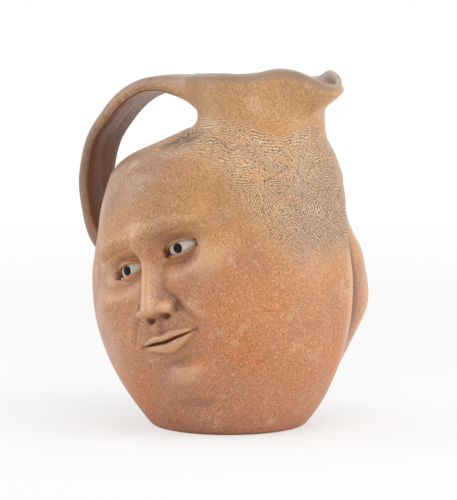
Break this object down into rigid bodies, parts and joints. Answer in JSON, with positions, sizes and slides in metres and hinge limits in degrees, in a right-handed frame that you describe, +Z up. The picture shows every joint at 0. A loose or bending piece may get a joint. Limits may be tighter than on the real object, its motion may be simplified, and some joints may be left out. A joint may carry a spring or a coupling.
{
  "type": "face jug",
  "caption": "Stoneware pouring jug in the form of a two-faced head, with a waisted neck, pinched spout, strap handle and a scratched coat of hair.",
  "frame": {"origin": "centre of the flat foot, on the surface that the jug stands on", "axes": "+Z up, +X towards the spout with the handle on -X, the front face looks along -Y and the back face along +Y"},
  "size_m": [0.1808, 0.1669, 0.2024],
  "materials": {
    "head_stoneware": "salt-glazed orange-brown stoneware, pinker at the foot, with a fine orange-peel speckle",
    "neck_stoneware": "salt-glazed ochre stoneware, with a grey-brown rim and a dark inside",
    "hair_stoneware": "scratched and curled clay, pale on the ridges and brown in the cuts",
    "strap_stoneware": "dark brown salt-glazed stoneware, with ridged lighter margins",
    "feature_stoneware": "salt-glazed orange-brown stoneware",
    "eye_white": "glossy off-white slip",
    "pupil_black": "glossy black-brown glaze"
  },
  "bodies": {
    "root": {"body": "head_stoneware", "neck_and_spout": "neck_stoneware", "handle": "strap_stoneware", "hair": "hair_stoneware", "front_nose": "feature_stoneware", "front_upper_lip": "feature_stoneware", "front_lower_lip": "feature_stoneware", "front_left_brow": "feature_stoneware", "front_left_eyeball": "eye_white", "front_left_pupil": "pupil_black", "front_left_upper_lid": "feature_stoneware", "front_left_lower_lid": "feature_stoneware", "front_right_brow": "feature_stoneware", "front_right_eyeball": "eye_white", "front_right_pupil": "pupil_black", "front_right_upper_lid": "feature_stoneware", "front_right_lower_lid": "feature_stoneware", "back_nose": "feature_stoneware", "back_upper_lip": "feature_stoneware", "back_lower_lip": "feature_stoneware", "back_left_brow": "feature_stoneware", "back_left_eyeball": "eye_white", "back_left_pupil": "pupil_black", "back_left_upper_lid": "feature_stoneware", "back_left_lower_lid": "feature_stoneware", "back_right_brow": "feature_stoneware", "back_right_eyeball": "eye_white", "back_right_pupil": "pupil_black", "back_right_upper_lid": "feature_stoneware", "back_right_lower_lid": "feature_stoneware"}
  },
  "joints": []
}
